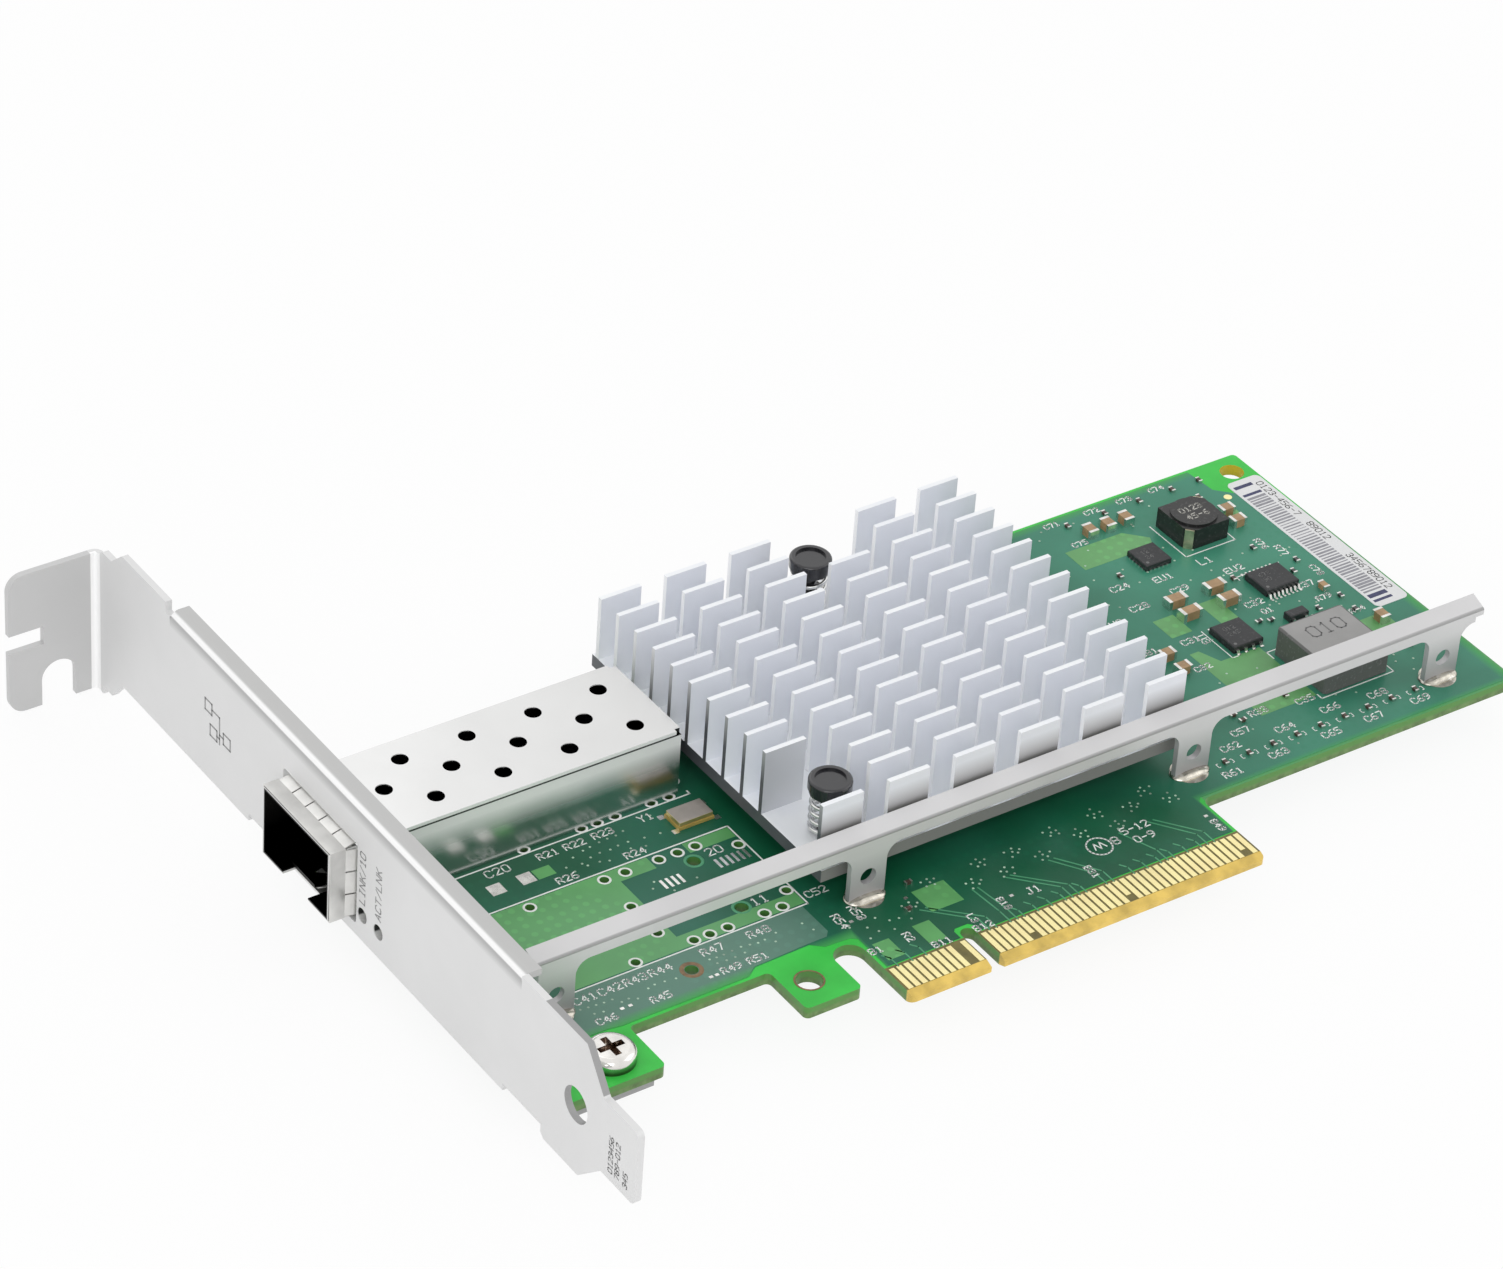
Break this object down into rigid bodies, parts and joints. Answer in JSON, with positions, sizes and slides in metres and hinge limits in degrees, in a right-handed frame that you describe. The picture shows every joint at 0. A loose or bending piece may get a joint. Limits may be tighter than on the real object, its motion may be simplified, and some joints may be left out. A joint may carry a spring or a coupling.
{
  "type": "network interface card",
  "caption": "Full-height plug-in network card with an optical module port, cross-cut heatsink, folded stiffener rail, screwed bracket and keyed gold edge",
  "frame": {"origin": "middle of the key in the gold edge, at the edge and on the component face of the board", "axes": "+X runs along the card away from the bracket, +Y from the gold edge up across the board, +Z out of the component face"},
  "size_m": [0.1599, 0.12, 0.0235],
  "materials": {
    "board_green": "solder mask over glass fibre",
    "gold": "thin gold plating",
    "bracket_steel": "matt nickel-plated steel",
    "screw_steel": "bright plated steel",
    "rail_steel": "satin stainless steel",
    "solder": "bright solder",
    "cage_steel": "bright nickel-plated sheet",
    "collar_steel": "bright spring sheet",
    "black_plastic": "moulded",
    "white_plastic": "moulded",
    "clear_plastic": "clear moulded",
    "heatsink_metal": "extruded and cross-cut",
    "pad_grey": "soft thermal pad",
    "lid_metal": "plated lid",
    "carrier_green": "laminate",
    "spring_steel": "wire",
    "ferrite_black": "ferrite",
    "coil_grey": "moulded powder",
    "terminal_brass": "tinned brass",
    "chip_black": "moulded",
    "lead_tin": "tinned",
    "crystal_ceramic": "ceramic",
    "crystal_metal": "plated lid",
    "capacitor_tan": "ceramic",
    "resistor_black": "glazed ceramic",
    "paper": "paper label"
  },
  "bodies": {
    "root": {"circuit_board": "board_green", "edge_contacts_front": "gold", "edge_contacts_back": "gold", "bracket": "bracket_steel", "bracket_screws": "screw_steel", "stiffener_rail": "rail_steel", "rail_solder": "solder", "port_cage": "cage_steel", "spring_collar": "collar_steel", "host_connector": "black_plastic", "host_contacts": "gold", "status_lights": "white_plastic", "light_domes": "clear_plastic", "heatsink": "heatsink_metal", "thermal_pad": "pad_grey", "controller_lid": "lid_metal", "controller_substrate": "carrier_green", "controller_balls": "solder", "push_pins": "black_plastic", "push_pin_springs": "spring_steel", "power_coil": "ferrite_black", "power_coil_clips": "terminal_brass", "core_coil": "coil_grey", "core_coil_clips": "lead_tin", "driver_chip": "chip_black", "driver_leads": "lead_tin", "memory_chip": "chip_black", "memory_leads": "lead_tin", "converter_chip": "chip_black", "converter_pads": "lead_tin", "switch_transistor": "chip_black", "switch_leads": "lead_tin", "crystal_base": "crystal_ceramic", "crystal_can": "crystal_metal", "large_capacitors": "capacitor_tan", "large_capacitor_ends": "lead_tin", "small_capacitors": "capacitor_tan", "small_capacitor_ends": "lead_tin", "small_resistors": "resistor_black", "small_resistor_ends": "lead_tin", "label": "paper"}
  },
  "joints": []
}
